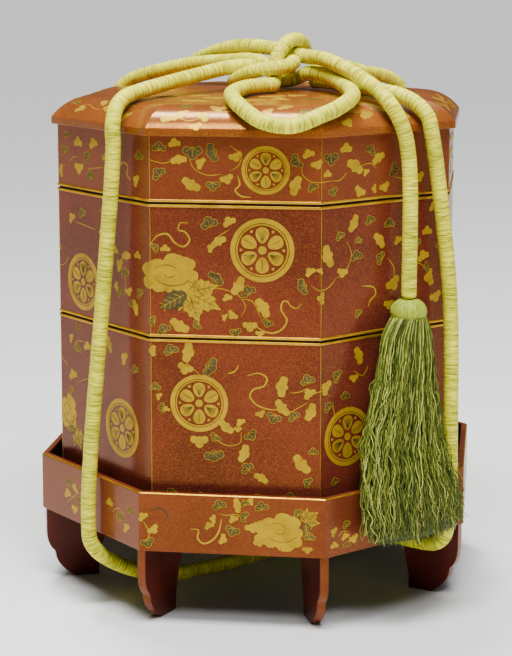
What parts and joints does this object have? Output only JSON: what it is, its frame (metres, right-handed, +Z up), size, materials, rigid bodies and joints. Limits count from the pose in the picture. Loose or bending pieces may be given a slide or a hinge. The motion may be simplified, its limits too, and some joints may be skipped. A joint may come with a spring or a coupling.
{
  "type": "lacquer box",
  "caption": "Octagonal lacquer shell box in two tiers under a deep eaved lid, standing in a legged tray and tied with a tasselled silk cord.",
  "frame": {"origin": "on the floor under the box's axis, midway between the feet of the stand", "axes": "+Z up, -Y towards the front face of the box, +X to the right as seen from the front"},
  "size_m": [0.4099, 0.4355, 0.5282],
  "materials": {
    "lacquer": "gloss",
    "maki_e_gold": "satin",
    "maki_e_grey": "gloss",
    "cord_silk": "satin",
    "tassel_silk": "satin"
  },
  "bodies": {
    "root": {"lid": "lacquer", "upper_tier": "lacquer", "lower_tier": "lacquer", "stand_tray": "lacquer", "leg_1": "lacquer", "leg_2": "lacquer", "leg_3": "lacquer", "leg_4": "lacquer", "leg_5": "lacquer", "leg_6": "lacquer", "leg_7": "lacquer", "leg_8": "lacquer", "cord_first_wrap": "cord_silk", "cord_second_wrap": "cord_silk", "cord_front_loop": "cord_silk", "cord_two_ends": "cord_silk", "cord_knot_band": "cord_silk", "tassel_front": "tassel_silk", "tassel_back": "tassel_silk"}
  },
  "joints": []
}
